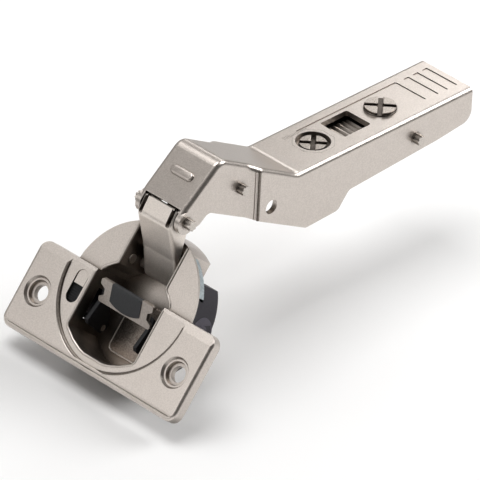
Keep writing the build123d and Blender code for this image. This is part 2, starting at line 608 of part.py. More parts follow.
# Cup: pocket, flange and wing plate pressed from one sheet
wing_mid = (wing_low + wing_high) / 2
with BuildPart() as cup_shell:
    with BuildSketch(cup_top.offset(cup_floor_out + floor_roll)) as pocket_plan:
        with BuildLine():
            Polyline(*pocket_outline(cup_sheet), close=True)
        make_face()
        Circle(cup_radius, mode=Mode.INTERSECT)
    extrude(amount=door_face - cup_floor_out - floor_roll)
    extrude(pocket_plan.sketch, amount=-floor_roll, taper=38)
    # wing plate and flange
    with BuildSketch(cup_top.offset(door_face)):
        with Locations((wing_mid, 0)):
            RectangleRounded(wing_high - wing_low, wing_span, wing_corner)
    extrude(amount=-door_face)
    plate_rim = cup_shell.faces().sort_by(cup_up)[-1].edges()
    fillet(plate_rim, 0.9)
    # the plate bends down along its upper edge
    with BuildSketch(cup_side):
        with BuildLine():
            Polyline((wing_high - bend_width, 0), (wing_high + bend_width, -2 * bend_drop),
                     (wing_high + bend_width, bend_drop), (wing_high - bend_width, bend_drop), close=True)
        make_face()
    extrude(amount=wing_span, both=True, mode=Mode.SUBTRACT)
    with BuildSketch(cup_top.offset(door_face)):
        Circle(flange_radius)
    extrude(amount=flange_top - door_face)
    # underside of the plate, outside the pocket
    with BuildSketch(cup_top.offset(door_face)):
        with Locations((wing_mid, 0)):
            Rectangle(wing_high - wing_low - 2 * wing_edge, wing_span - 2 * wing_edge)
        with BuildLine():
            Polyline(*pocket_outline(cup_sheet), close=True)
        make_face(mode=Mode.SUBTRACT)
        for side in [1, -1]:
            with Locations((screw_x, side * screw_pitch / 2)):
                Circle(screw_rim_r + cup_sheet, mode=Mode.SUBTRACT)
    extrude(amount=-door_face - wing_sheet, mode=Mode.SUBTRACT)
    # round dish in the plate, step along its lower edge
    with BuildSketch(cup_top.offset(-dish_depth)):
        Circle(dish_radius - 0.6)
        with Locations((wing_high, 0)):
            Rectangle(1.0, wing_span, mode=Mode.SUBTRACT)
    extrude(amount=2 * dish_depth, taper=-47, mode=Mode.SUBTRACT)
    with BuildSketch(cup_top.offset(-lip_drop)):
        with Locations((wing_low + lip_width / 2 - 0.5, 0)):
            Rectangle(lip_width + 1.0, wing_span + 2)
    extrude(amount=2 * lip_drop, mode=Mode.SUBTRACT)
    # pocket
    with BuildSketch(cup_top.offset(pocket_floor)):
        with BuildLine():
            Polyline(*pocket_outline(0), close=True)
        make_face()
        Circle(cup_radius - cup_sheet, mode=Mode.INTERSECT)
    extrude(amount=beyond + 2, mode=Mode.SUBTRACT)
    with BuildSketch(cup_top.offset(slot_wall_top)):
        with Locations((cup_radius, 0)):
            Rectangle(2 * (cup_radius - pocket_high), 2 * slot_half)
    extrude(amount=beyond, mode=Mode.SUBTRACT)
    # screw seats
    for side in [1, -1]:
        for seat_z, seat_r, flare in [(screw_ledge, screw_rim_r, ledge_flare),
                                      (screw_seat, screw_seat_r, seat_flare),
                                      (door_face, screw_hole_r, 0)]:
            with BuildSketch(cup_top.offset(seat_z)):
                with Locations((screw_x, side * screw_pitch / 2)):
                    Circle(seat_r)
            extrude(amount=seat_gap - seat_z, taper=-flare, mode=Mode.SUBTRACT)
    # slider opening on the +Y side, and the tongue over its upper end
    with BuildSketch(cup_top.offset(-wing_sheet)):
        with Locations(((switch_low + switch_high) / 2, (switch_inner_y + switch_outer_y) / 2)):
            SlotOverall(switch_high - switch_low, switch_outer_y - switch_inner_y)
    extrude(amount=wing_sheet, mode=Mode.SUBTRACT)
    tongue_length = wing_high - wing_edge - switch_tongue_x
    with BuildSketch(cup_top.offset(tongue_floor)):
        with Locations((switch_tongue_x + tongue_length / 2, (switch_inner_y + switch_outer_y) / 2)):
            Rectangle(tongue_length, switch_outer_y - switch_inner_y - 2 * tongue_slit)
    extrude(amount=tongue_top - tongue_floor)
    # ports for the lever's fingers, holes for the pins
    with BuildSketch(cup_side):
        with Locations(((port_low + port_high) / 2, (port_top + port_floor) / 2)):
            Rectangle(port_high - port_low, port_top - port_floor)
    extrude(amount=pocket_half + 1.0, both=True, mode=Mode.SUBTRACT)
    with BuildSketch(cup_side):
        with Locations((cup_outer_x, cup_outer_z)):
            Circle(cup_outer_r)
        with Locations((cup_inner_x, cup_inner_z)):
            Circle(cup_inner_r)
        with Locations((lever_pivot_x, lever_pivot_z)):
            Circle(lever_pivot_r)
    extrude(amount=pocket_half + 1.0, both=True, mode=Mode.SUBTRACT)
finish(cup_shell.part, "cup_shell", nickel)

# Lever face, in the cup's side plane
lever_tilt = atan2(lever_top_z - lever_low_z, lever_top_x - lever_low_x)
lever_run = sqrt((lever_top_x - lever_low_x) ** 2 + (lever_top_z - lever_low_z) ** 2)
lever_dir = cup_x_dir * cos(lever_tilt) + cup_z_dir * sin(lever_tilt)
lever_up = cup_z_dir * cos(lever_tilt) - cup_x_dir * sin(lever_tilt)
lever_plane = Plane(origin=cup_point(lever_low_x, lever_low_z), x_dir=lever_dir, z_dir=lever_up)


def lever_under(run):
    """A point on the underside of the lever's face, a distance along it."""
    return (lever_low_x + run * cos(lever_tilt) + lever_sheet * sin(lever_tilt),
            lever_low_z + run * sin(lever_tilt) - lever_sheet * cos(lever_tilt))


# Pins across the pocket
for pin_name, pin_x, pin_z, pin_r in [("outer_cup_pin", cup_outer_x, cup_outer_z, cup_outer_r),
                                      ("inner_cup_pin", cup_inner_x, cup_inner_z, cup_inner_r)]:
    with BuildPart() as cup_pin:
        with BuildSketch(cup_side):
            with Locations((pin_x, pin_z)):
                Circle(pin_r)
        extrude(amount=slot_half + cup_sheet, both=True)
    finish(cup_pin.part, pin_name, steel)

strip_start = degrees(asin((slot_half + cup_sheet + seat_gap) / (cup_radius - strip_sheet)))
housing_inner = pocket_half + cup_sheet + seat_gap
housing_neck = slot_half + cup_sheet + swing_gap
for hand, side in [("left", 1), ("right", -1)]:
    # lever pivot rivet, from the pocket wall inwards
    side_wall = Plane(origin=cup_origin + Vector(0, side * (lever_half - cheek_sheet), 0),
                      x_dir=cup_x_dir, z_dir=(0, -1, 0))
    with BuildPart() as lever_rivet:
        with BuildSketch(side_wall):
            with Locations((lever_pivot_x, lever_pivot_z)):
                Circle(lever_pivot_r)
        extrude(amount=-side * (pocket_half + cup_sheet - lever_half + cheek_sheet))
    finish(lever_rivet.part, "lever_rivet_" + hand, steel)

    # damper housing
    with BuildPart() as damper_housing:
        with BuildSketch(cup_top.offset(housing_floor)):
            with BuildLine():
                Polyline((housing_low, side * housing_inner), (housing_step_low, side * housing_inner),
                         (housing_step_high, side * housing_step_y),
                         (pocket_high + housing_step_run, side * housing_neck),
                         (housing_high, side * housing_neck), (housing_high, side * (cup_radius + 2)),
                         (housing_low, side * (cup_radius + 2)),
                         close=True)
            make_face()
            Circle(cup_radius - seat_gap, mode=Mode.INTERSECT)
        extrude(amount=housing_top - housing_floor)
        bottom_arc = damper_housing.faces().sort_by(cup_up)[0].edges().filter_by(GeomType.CIRCLE)
        fillet(bottom_arc, housing_corner)
        with BuildSketch(cup_top.offset(chamber_floor)):
            with Locations(((chamber_low + chamber_high) / 2, side * chamber_outer / 2)):
                Rectangle(chamber_high - chamber_low, chamber_outer)
        extrude(amount=chamber_top - chamber_floor, mode=Mode.SUBTRACT)
        bore_plane = Plane(origin=cup_point(chamber_high - 1, damper_z) + Vector(0, side * damper_y, 0),
                           z_dir=cup_x_dir)
        with BuildSketch(bore_plane):
            Circle(damper_r)
        extrude(amount=damper_high - chamber_high + 1, mode=Mode.SUBTRACT)
        with BuildSketch(cup_top.offset(door_face - strip_drop - seat_gap)):
            Circle(cup_radius + 2)
            Circle(cup_radius - strip_sheet - seat_gap, mode=Mode.SUBTRACT)
            with Locations((cup_radius * cos(radians(strip_end)) - beyond - 0.6, 0)):
                Rectangle(2 * beyond, 4 * beyond, mode=Mode.SUBTRACT)
        extrude(amount=beyond, mode=Mode.SUBTRACT)
    finish(damper_housing.part, "damper_housing_" + hand, dark_plastic)

    # damper cylinder and rod
    damper_axis = Plane(origin=cup_point(damper_low, damper_z) + Vector(0, side * damper_y, 0),
                        z_dir=cup_x_dir)
    with BuildPart() as damper_cylinder:
        with BuildSketch(damper_axis):
            Circle(damper_r)
            Circle(damper_rod_r + running, mode=Mode.SUBTRACT)
        extrude(amount=damper_high - damper_low)
    finish(damper_cylinder.part, "damper_cylinder_" + hand, zinc)

    foot_x = finger_x + finger_r + damper_gap
    foot_plane = Plane(origin=cup_point(foot_x, damper_z) + Vector(0, side * damper_y, 0),
                       z_dir=cup_x_dir)
    with BuildPart() as damper_rod:
        with BuildSketch(foot_plane):
            Circle(damper_foot_r)
        extrude(amount=damper_foot_sheet)
        with BuildSketch(foot_plane):
            Circle(damper_rod_r)
        extrude(amount=damper_low - foot_x + rod_grip)
    finish(damper_rod.part, "damper_rod_" + hand, steel)

    # retaining strip under the flange
    with BuildPart() as retaining_strip:
        with BuildSketch(cup_top.offset(door_face)):
            with BuildLine():
                outer_arc = CenterArc((0, 0), cup_radius, side * strip_start,
                                      side * (strip_end - strip_start))
                inner_arc = CenterArc((0, 0), cup_radius - strip_sheet, side * strip_start,
                                      side * (strip_end - strip_start))
                Line(outer_arc @ 0, inner_arc @ 0)
                Line(outer_arc @ 1, inner_arc @ 1)
            make_face()
        extrude(amount=-strip_drop)
    finish(retaining_strip.part, "retaining_strip_" + hand, zinc)

    # lever cheek with its finger
    with BuildPart() as lever_cheek:
        with BuildSketch(side_wall):
            with BuildLine():
                Polyline((lever_low_x, lever_low_z), *cheek_edge,
                         lever_under(cheek_reach), lever_under(0), close=True)
            make_face()
            with Locations((lever_pivot_x, lever_pivot_z)):
                Circle(lever_pivot_r + running, mode=Mode.SUBTRACT)
        extrude(amount=-side * cheek_sheet)
        with BuildSketch(side_wall):
            with Locations((finger_x, finger_z)):
                Circle(finger_r)
        extrude(amount=-side * (finger_reach - lever_half + cheek_sheet))
    finish(lever_cheek.part, "lever_cheek_" + hand, dark_plastic)

# Lever: a cast bracket with a plastic pad let into its face
def pad_outline(extra):
    """The pad's edge in the lever's face, its lower side bowed, open at the top by a length."""
    Polyline((pad_start, -pad_half), (lever_run + extra, -pad_half), (lever_run + extra, pad_half),
             (pad_start, pad_half))
    ThreePointArc((pad_start, pad_half), (pad_start - pad_bow, 0), (pad_start, -pad_half))


with BuildPart() as lever_bracket:
    with BuildSketch(lever_plane):
        with Locations((lever_run / 2, 0)):
            RectangleRounded(lever_run, 2 * lever_half, 0.6)
        with BuildLine():
            pad_outline(lever_sheet)
        make_face(mode=Mode.SUBTRACT)
        with Locations((lever_notch_run, lever_half), (lever_notch_run, -lever_half)):
            RegularPolygon(lever_notch_r, 6, mode=Mode.SUBTRACT)
    extrude(amount=-lever_sheet)
finish(lever_bracket.part, "lever_bracket", zinc)

with BuildPart() as lever_pad:
    with BuildSketch(lever_plane.offset(pad_rise)):
        with BuildLine():
            pad_outline(0)
        make_face()
    extrude(amount=-lever_sheet - pad_rise)
    pad_edges = lever_pad.faces().sort_by(Axis(cup_origin, lever_up))[-1].edges()
    fillet(pad_edges.sort_by(Axis(cup_origin, lever_dir))[-1], lever_sheet / 2)
finish(lever_pad.part, "lever_pad", dark_plastic)

# Slider beside the pocket
switch_mid_y = (switch_inner_y + switch_outer_y) / 2
switch_width = switch_outer_y - switch_inner_y - 2 * seat_gap
with BuildPart() as switch_slider:
    with BuildSketch(cup_top.offset(switch_plate_floor)):
        with Locations(((switch_low + seat_gap + slider_end) / 2, switch_mid_y)):
            Rectangle(slider_end - switch_low - seat_gap, switch_width)
    extrude(amount=slider_sheet)
    with BuildSketch(cup_top.offset(switch_plate_floor)):
        for index in range(thumb_count):
            with Locations((switch_low + 0.5 + index * thumb_pitch, switch_mid_y)):
                Rectangle(ridge_width, switch_width / 2)
    extrude(amount=switch_thumb_top - switch_plate_floor)
finish(switch_slider.part, "switch_slider", dark_plastic)
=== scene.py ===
from math import cos, pi, radians, sin

import bmesh
import bpy
from mathutils import Matrix, Vector


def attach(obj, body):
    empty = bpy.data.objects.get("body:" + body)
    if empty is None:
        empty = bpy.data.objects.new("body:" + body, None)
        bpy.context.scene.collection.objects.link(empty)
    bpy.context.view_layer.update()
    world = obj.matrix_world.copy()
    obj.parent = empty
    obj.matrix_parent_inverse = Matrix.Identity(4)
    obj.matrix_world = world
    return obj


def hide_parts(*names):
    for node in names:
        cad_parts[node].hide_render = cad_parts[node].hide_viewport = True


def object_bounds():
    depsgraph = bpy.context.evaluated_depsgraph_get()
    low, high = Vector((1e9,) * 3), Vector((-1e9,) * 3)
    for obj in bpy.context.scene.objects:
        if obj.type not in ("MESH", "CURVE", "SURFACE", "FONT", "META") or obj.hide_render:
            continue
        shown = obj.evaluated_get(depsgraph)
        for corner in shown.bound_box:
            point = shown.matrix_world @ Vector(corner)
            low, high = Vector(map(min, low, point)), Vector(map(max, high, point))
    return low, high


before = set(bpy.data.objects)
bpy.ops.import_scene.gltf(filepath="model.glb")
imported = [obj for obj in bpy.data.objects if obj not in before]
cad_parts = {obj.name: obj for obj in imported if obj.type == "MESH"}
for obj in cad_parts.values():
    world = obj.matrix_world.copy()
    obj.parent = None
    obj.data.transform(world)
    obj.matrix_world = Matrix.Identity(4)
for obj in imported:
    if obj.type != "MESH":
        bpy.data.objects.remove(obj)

scene = bpy.context.scene
scene.view_settings.view_transform = "Standard"
cad_low, cad_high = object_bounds()

# Camera
# A long lens far away, so that parallel edges stay parallel as in the photograph.
# It looks down along the arm from the front and from the near side.
sight_right = Vector((0.70850, -0.70447, 0.04212)).normalized()
sight_up = Vector((0.35475, 0.40711, 0.84168)).normalized()
sight_back = sight_right.cross(sight_up).normalized()
look_at = Vector((-0.03341, 0.0, -0.00847))
frame_width = 0.11079
lens, sensor = 600.0, 36.0
camera_data = bpy.data.cameras.new("camera")
camera_data.type = "PERSP"
camera_data.lens = lens
camera_data.sensor_width = sensor
camera_data.clip_start = 0.05
camera_data.clip_end = 20.0
camera = bpy.data.objects.new("camera", camera_data)
scene.collection.objects.link(camera)
sight_turn = Matrix((sight_right, sight_up, sight_back)).transposed().to_4x4()
camera_distance = frame_width * lens / sensor
camera.matrix_world = Matrix.Translation(look_at + sight_back * camera_distance) @ sight_turn
scene.camera = camera


# Floor and light
# A matt white studio floor just under the part, painted greyer far out as a painted fall-off of the light,
# and four soft white panels round the part.
# The world is a grey ramp in height, dark at the horizon and paler higher up, and dimmer on the near side,
# which gives the plated faces their depth.
def linear(hex_code):
    """An sRGB hex colour as linear RGBA."""
    out = []
    for place in (0, 2, 4):
        v = int(hex_code.lstrip("#")[place:place + 2], 16) / 255
        out.append(v / 12.92 if v <= 0.04045 else ((v + 0.055) / 1.055) ** 2.4)
    return (*out, 1.0)


def add_node(tree, kind, settings=None, inputs=None, links=None):
    """Adds a shader node with its settings and input values, and links other nodes' outputs to its inputs."""
    node = tree.nodes.new(kind)
    for key, value in (settings or {}).items():
        setattr(node, key, value)
    for key, value in (inputs or {}).items():
        node.inputs[key].default_value = value
    for key, source in (links or {}).items():
        tree.links.new(source, node.inputs[key])
    return node


floor_radius, floor_gap = 1.6, 0.0006
fade_start, fade_end = 0.13, 0.36
floor_mesh = bpy.data.meshes.new("floor")
bm = bmesh.new()
bmesh.ops.create_circle(bm, cap_ends=True, segments=64, radius=floor_radius,
                        matrix=Matrix.Translation((-0.03, 0.0, cad_low.z - floor_gap)))
bm.to_mesh(floor_mesh)
bm.free()
floor = bpy.data.objects.new("floor", floor_mesh)
scene.collection.objects.link(floor)
floor_paint = bpy.data.materials.new("matt_white_floor")
floor_paint.use_nodes = True
floor_tree = floor_paint.node_tree
floor_shader = floor_tree.nodes["Principled BSDF"]
floor_place = add_node(floor_tree, "ShaderNodeTexCoord").outputs["Object"]
# Painted light: the floor's colour fades from white to grey away from the part, a painted fall-off.
floor_reach = add_node(floor_tree, "ShaderNodeVectorMath", {"operation": "DISTANCE"},
                       {1: (-0.03, 0.0, -0.02)}, {0: floor_place})
floor_light_falloff = add_node(floor_tree, "ShaderNodeMapRange", {"interpolation_type": "SMOOTHSTEP"},
                      {"From Min": fade_start, "From Max": fade_end}, {"Value": floor_reach.outputs["Value"]})
floor_tone = add_node(floor_tree, "ShaderNodeValToRGB", links={"Fac": floor_light_falloff.outputs["Result"]})
floor_tone.color_ramp.elements[0].color = linear("#FAFAFA")
floor_tone.color_ramp.elements[1].color = linear("#8F8D8B")
floor_tree.links.new(floor_tone.outputs["Color"], floor_shader.inputs["Base Color"])
floor_shader.inputs["Roughness"].default_value = 0.9
floor_shader.inputs["Specular IOR Level"].default_value = 0.1
floor_mesh.materials.append(floor_paint)

world = bpy.data.worlds.new("studio")
scene.world = world
world.use_nodes = True
world_tree = world.node_tree
world_back = world_tree.nodes["Background"]
world_way = add_node(world_tree, "ShaderNodeTexCoord")
world_split = add_node(world_tree, "ShaderNodeSeparateXYZ",
                       links={"Vector": world_way.outputs["Generated"]})
world_ramp = add_node(world_tree, "ShaderNodeValToRGB", links={"Fac": world_split.outputs["Z"]})
for world_stop, world_tone in (
        (0.12, "#5E5C5A"),
        (0.26, "#BEBCBA"),
        (0.50, "#BEBCBA"),
        (0.68, "#8A8886")):
    world_ramp.color_ramp.elements.new(world_stop).color = linear(world_tone)
world_ramp.color_ramp.elements[0].color = linear("#383634")
world_ramp.color_ramp.elements[-1].color = linear("#B4B2B0")
near_edge, far_edge, near_strength = -0.55, 0.15, 0.22
world_side = add_node(world_tree, "ShaderNodeMapRange", {"interpolation_type": "SMOOTHSTEP"},
                      {"From Min": near_edge, "From Max": far_edge, "To Min": near_strength},
                      {"Value": world_split.outputs["Y"]})
world_tree.links.new(world_ramp.outputs["Color"], world_back.inputs["Color"])
world_tree.links.new(world_side.outputs["Result"], world_back.inputs["Strength"])

for lamp_name, place, size, power in [
        ("panel_rear", (0.56, 0.33, 0.36), 0.22, 0.60),
        ("panel_left", (-0.74, 0.34, 0.38), 0.36, 0.62),
        ("panel_right", (0.80, -0.42, 0.68), 0.62, 8.4),
        ("panel_above", (-0.05, 0.25, 1.00), 0.66, 5.2)]:
    lamp_data = bpy.data.lights.new(lamp_name, "AREA")
    lamp_data.shape = "SQUARE"
    lamp_data.size = size
    lamp_data.energy = power
    lamp = bpy.data.objects.new(lamp_name, lamp_data)
    scene.collection.objects.link(lamp)
    lamp.location = Vector(place)
    lamp.rotation_euler = (look_at - lamp.location).to_track_quat("-Z", "Y").to_euler()


# Sheet steel parts: arm, adapter, both links, bush and cup
# Cold-rolled steel, pressed and folded, then barrel plated with nickel.
# The plating gives a warm satin grey with a fine grain and tiny pits. The grain is drawn a little coarser
# than the real one, so that it shows.
def plated(name, light, dark, rough, grain_mm, pit_depth, shade_reach_mm=4.0, painted_shade_tone="#5A524B"):
    """A metal skin: grain in its tint, gloss and pits, a broad cloud under it, and painted shade darkening
    its creases.
    """
    cloud_mm, cloud_share = 4.0, 0.2
    tint_from, tint_to = 0.48, 0.74
    gloss_down, gloss_up = 0.05, 0.07
    shade_from, shade_to = 0.25, 0.85
    paint = bpy.data.materials.new(name)
    paint.use_nodes = True
    tree = paint.node_tree
    shader = tree.nodes["Principled BSDF"]
    place = add_node(tree, "ShaderNodeTexCoord").outputs["Object"]
    cloud = add_node(tree, "ShaderNodeTexNoise",
                     inputs={"Scale": 1000 / cloud_mm, "Detail": 4.0, "Roughness": 0.75},
                     links={"Vector": place})
    grain = add_node(tree, "ShaderNodeTexNoise",
                     inputs={"Scale": 1000 / grain_mm, "Detail": 2.0, "Roughness": 0.6},
                     links={"Vector": place})
    mixed = add_node(tree, "ShaderNodeMath", {"operation": "MULTIPLY_ADD"}, {1: cloud_share},
                     {0: cloud.outputs["Fac"]})
    tree.links.new(grain.outputs["Fac"], mixed.inputs[2])
    tint = add_node(tree, "ShaderNodeValToRGB", links={"Fac": mixed.outputs[0]})
    tint.color_ramp.elements[0].position = tint_from
    tint.color_ramp.elements[0].color = linear(dark)
    tint.color_ramp.elements[1].position = tint_to
    tint.color_ramp.elements[1].color = linear(light)
    gloss = add_node(tree, "ShaderNodeMapRange",
                     inputs={"From Min": 0.3, "From Max": 0.7,
                             "To Min": rough - gloss_down, "To Max": rough + gloss_up},
                     links={"Value": grain.outputs["Fac"]})
    pits = add_node(tree, "ShaderNodeBump", inputs={"Strength": 0.35, "Distance": pit_depth},
                    links={"Height": grain.outputs["Fac"]})
    # Painted shade: where ambient occlusion finds a crease or hollow nearby, the tint darkens towards the
    # shade tone.
    occlusion = add_node(tree, "ShaderNodeAmbientOcclusion", {"samples": 6}, {"Distance": shade_reach_mm / 1000})
    crease = add_node(tree, "ShaderNodeMapRange", inputs={"From Min": shade_from, "From Max": shade_to},
                      links={"Value": occlusion.outputs["AO"]})
    painted_shade = add_node(tree, "ShaderNodeMix", {"data_type": "RGBA"}, {"A": linear(painted_shade_tone)},
                    {"Factor": crease.outputs["Result"], "B": tint.outputs["Color"]})
    tree.links.new(painted_shade.outputs["Result"], shader.inputs["Base Color"])
    tree.links.new(gloss.outputs["Result"], shader.inputs["Roughness"])
    tree.links.new(pits.outputs["Normal"], shader.inputs["Normal"])
    shader.inputs["Metallic"].default_value = 1.0
    return paint


def wear(node_name, paint):
    """Gives a CAD node its material."""
    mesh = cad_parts[node_name].data
    mesh.materials.clear()
    mesh.materials.append(paint)


sheet_nickel = plated("nickel_plated_sheet_steel", "#D2CAC3", "#C3BBB4", 0.33, 0.30, 0.00003, 1.6)
for sheet_node in ("arm_channel", "side_bush"):
    wear(sheet_node, sheet_nickel)
# The outer link is the same nickel painted lighter: painted light that makes up for the shaded floor it
# reflects.
lit_link_nickel = plated("nickel_plated_link_steel_painted_light", "#F4ECE4", "#E6DED6", 0.46, 0.30, 0.00003, 2.0)
wear("outer_link", lit_link_nickel)
# The cup, adapter and inner link: the same nickel with painted shade reaching 11 mm, which darkens the pocket
# and other hollows.
pocket_shade_nickel = plated("nickel_plated_steel_deep_painted_shade", "#D2CAC3", "#C3BBB4", 0.33, 0.30, 0.00003,
                     11.0, "#6E645B")
for deep_node in ("cup_shell", "adapter", "inner_link"):
    wear(deep_node, pocket_shade_nickel)

# Joggle in the arm's sides
# Where the sides of the sheet step in, the press leaves a valley behind and before a rounded ridge.
# The valleys are drawn as dark tubes, painted shade, and the ridge is plain sheet.
# They are pieces of their own on the arm's sheet, in the arm's frame of millimetres.
arm_frame = Matrix.Translation((0.034, 0.0, 0.0095)) @ Matrix.Scale(0.001, 4)
painted_shade_metal = plated("plated_press_crease_painted_shade", "#857D76", "#6B645D", 0.38, 0.3, 0.00001)
for hand, side in (("left", 1), ("right", -1)):
    for crease_name, crease_x, crease_y, crease_low, crease_high, crease_r, crease_paint in (
            ("joggle_rear_crease", -70.62, 8.30, -7.3, 5.7, 0.36, painted_shade_metal),
            ("joggle_ridge", -71.35, 7.95, -6.9, 5.9, 0.28, sheet_nickel),
            ("joggle_front_crease", -72.95, 7.0, -6.1, 6.9, 0.09, painted_shade_metal)):
        crease_mesh = bpy.data.meshes.new(crease_name + "_" + hand)
        bm = bmesh.new()
        middle = Matrix.Translation((crease_x, side * crease_y, (crease_low + crease_high) / 2))
        bmesh.ops.create_cone(bm, cap_ends=True, segments=16, radius1=crease_r, radius2=crease_r,
                              depth=crease_high - crease_low, matrix=middle)
        bm.transform(arm_frame)
        bm.to_mesh(crease_mesh)
        bm.free()
        crease_mesh.materials.append(crease_paint)
        crease = bpy.data.objects.new(crease_name + "_" + hand, crease_mesh)
        scene.collection.objects.link(crease)
        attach(crease, "arm")

# Bead on the front slope
# A rounded bar, pressed outwards in the sheet to stiffen the slope. It is a long block with round ends and
# a rolled top, sunk in the slope.
slope_turn = Matrix.Rotation(-radians(38.73), 4, "Y")
bead_length, bead_width, bead_height = 2.3, 6.9, 1.1
bead_mesh = bpy.data.meshes.new("slope_bead")
bm = bmesh.new()
bmesh.ops.create_cube(bm, size=1.0, matrix=Matrix.Diagonal((bead_length, bead_width, bead_height, 1)))
upright_edges = [e for e in bm.edges if abs(e.verts[0].co.z - e.verts[1].co.z) > 0.5]
bmesh.ops.bevel(bm, geom=upright_edges, offset=1.1, offset_type="OFFSET", segments=6, profile=0.5,
                affect="EDGES", clamp_overlap=True, material=-1)
top_edges = [e for e in bm.edges if min(v.co.z for v in e.verts) > 0.5]
bmesh.ops.bevel(bm, geom=top_edges, offset=0.5, offset_type="OFFSET", segments=4, profile=0.5,
                affect="EDGES", clamp_overlap=True, material=-1)
for face in bm.faces:
    face.smooth = True
bm.transform(arm_frame @ Matrix.Translation((-87.5, 0.0, 8.59)) @ slope_turn)
bm.to_mesh(bead_mesh)
bm.free()
bead_mesh.materials.append(sheet_nickel)
bead = bpy.data.objects.new("slope_bead", bead_mesh)
scene.collection.objects.link(bead)
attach(bead, "arm")

# Front edge of the slope
# The sheet's end, coined thinner where it covers the link's eye, with its edges broken. It rides the arm
# as a strip at the foot of the slope.
lip_length, lip_width, lip_height = 1.3, 11.6, 0.66
lip_mesh = bpy.data.meshes.new("slope_front_edge")
bm = bmesh.new()
bmesh.ops.create_cube(bm, size=1.0, matrix=Matrix.Diagonal((lip_length, lip_width, lip_height, 1)))
bmesh.ops.bevel(bm, geom=bm.edges[:], offset=0.15, offset_type="OFFSET", segments=3, profile=0.5,
                affect="EDGES", clamp_overlap=True, material=-1)
bm.transform(arm_frame @ Matrix.Translation((-92.687, 0.0, 3.969)) @ slope_turn)
bm.to_mesh(lip_mesh)
bm.free()
lip_mesh.materials.append(sheet_nickel)
lip = bpy.data.objects.new("slope_front_edge", lip_mesh)
scene.collection.objects.link(lip)
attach(lip, "arm")

# Scale marks on the arm's flat top
# A short comb of strokes, pressed in the sheet along the front end of the scale line.
# Each stroke is a little shorter than the one before it.
stroke_count, stroke_pitch, stroke_width, stroke_height = 15, 0.5, 0.22, 0.12
comb_mesh = bpy.data.meshes.new("scale_comb")
bm = bmesh.new()
for index in range(stroke_count):
    stroke_place = Matrix.Translation((-49.4 + index * stroke_pitch, 4.75 - 0.01 * index, 0.0))
    stroke_size = Matrix.Diagonal((stroke_width, 1.25 - 0.055 * index, stroke_height, 1))
    bmesh.ops.create_cube(bm, size=1.0, matrix=stroke_place @ stroke_size)
bmesh.ops.bevel(bm, geom=bm.edges[:], offset=0.04, offset_type="OFFSET", segments=2, profile=0.5,
                affect="EDGES", clamp_overlap=True, material=-1)
bm.transform(arm_frame)
bm.to_mesh(comb_mesh)
bm.free()
comb_mesh.materials.append(sheet_nickel)
comb = bpy.data.objects.new("scale_comb", comb_mesh)
scene.collection.objects.link(comb)
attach(comb, "arm")

# Screws: side screw and depth cam
# Turned steel, plated bright, with a cross recess between four raised quarters on a thin turned disc.
# The side screw hangs by its neck in the adapter's slot, and the cam's stub drives the adapter.
screw_y, base_height, rim_inset, cross_angle = -0.4, 0.25, 0.15, -48
screw_nickel = plated("bright_nickel_plated_screw", "#BDB5AD", "#ADA59D", 0.30, 0.25, 0.00001, 1.6, "#2E2723")
recess_painted_shade = plated("painted_shade_screw_recess", "#6E665F", "#4C453F", 0.34, 0.25, 0.00001, 1.2, "#241F1B")
for screw_node, screw_x, head_r, head_top, head_low, recess, shaft in (
        ("side_screw", -45.0, 3.4, -0.35, -1.35, 1.15,
         ((2.5, -1.35, -1.9), (1.5, -1.9, -5.1), (2.8, -5.1, -6.1))),
        ("depth_cam", -22.8, 3.95, 0.85, 0.05, 1.15,
         ((3.0, 0.05, -1.45), (4.0, -1.45, -2.05)))):
    screw_mesh = bpy.data.meshes.new(screw_node + "_look")
    bm = bmesh.new()
    for shaft_r, shaft_top, shaft_low in ((head_r, head_low + base_height, head_low), *shaft):
        bmesh.ops.create_cone(bm, cap_ends=True, segments=40, radius1=shaft_r, radius2=shaft_r,
                              depth=shaft_top - shaft_low,
                              matrix=Matrix.Translation((screw_x, screw_y, (shaft_top + shaft_low) / 2)))
    if screw_node == "depth_cam":
        bmesh.ops.create_cone(bm, cap_ends=True, segments=32, radius1=1.5, radius2=1.5, depth=2.2,
                              matrix=Matrix.Translation((screw_x, 1.6, -3.15)))
    half, quarter_r = recess / 2, head_r - rim_inset
    for quarter in range(4):
        quarter_turn = (Matrix.Translation((screw_x, screw_y, head_low + base_height))
                        @ Matrix.Rotation(radians(cross_angle + 90 * quarter), 4, "Z"))
        first = half / quarter_r
        rim = (quarter_r * (1 - first * first) ** 0.5, half)
        outline = [(half + 0.35, half), rim]
        for step in range(1, 8):
            angle = first + (pi / 2 - 2 * first) * step / 8
            outline.append((quarter_r * cos(angle), quarter_r * sin(angle)))
        outline += [(rim[1], rim[0]), (half, half + 0.35)]
        quarter_height = head_top - head_low - base_height
        low_ring = [bm.verts.new(quarter_turn @ Vector((x, y, 0.0))) for x, y in outline]
        top_ring = [bm.verts.new(quarter_turn @ Vector((x, y, quarter_height))) for x, y in outline]
        bm.faces.new(top_ring)
        bm.faces.new(low_ring[::-1])
        for here in range(len(outline)):
            there = (here + 1) % len(outline)
            bm.faces.new((low_ring[here], low_ring[there], top_ring[there], top_ring[here]))
        ring_edges = [e for e in bm.edges if all(v in top_ring for v in e.verts)]
        bmesh.ops.bevel(bm, geom=ring_edges, offset=0.14, offset_type="OFFSET", segments=3, profile=0.5,
                        affect="EDGES", clamp_overlap=True, material=-1)
    bm.normal_update()
    # The recess floor, the disc's top between the quarters, takes the dark recess material: painted shade.
    for face in bm.faces:
        recess_floor = face.normal.z > 0.9 and face.calc_center_median().z < head_low + 0.3
        face.material_index = 1 if recess_floor else 0
        face.smooth = abs(face.normal.z) < 0.5
    bm.transform(arm_frame)
    bm.to_mesh(screw_mesh)
    bm.free()
    screw_mesh.materials.append(screw_nickel)
    screw_mesh.materials.append(recess_painted_shade)
    screw = bpy.data.objects.new(screw_node + "_look", screw_mesh)
    scene.collection.objects.link(screw)
    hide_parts(screw_node)
    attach(screw, screw_node)

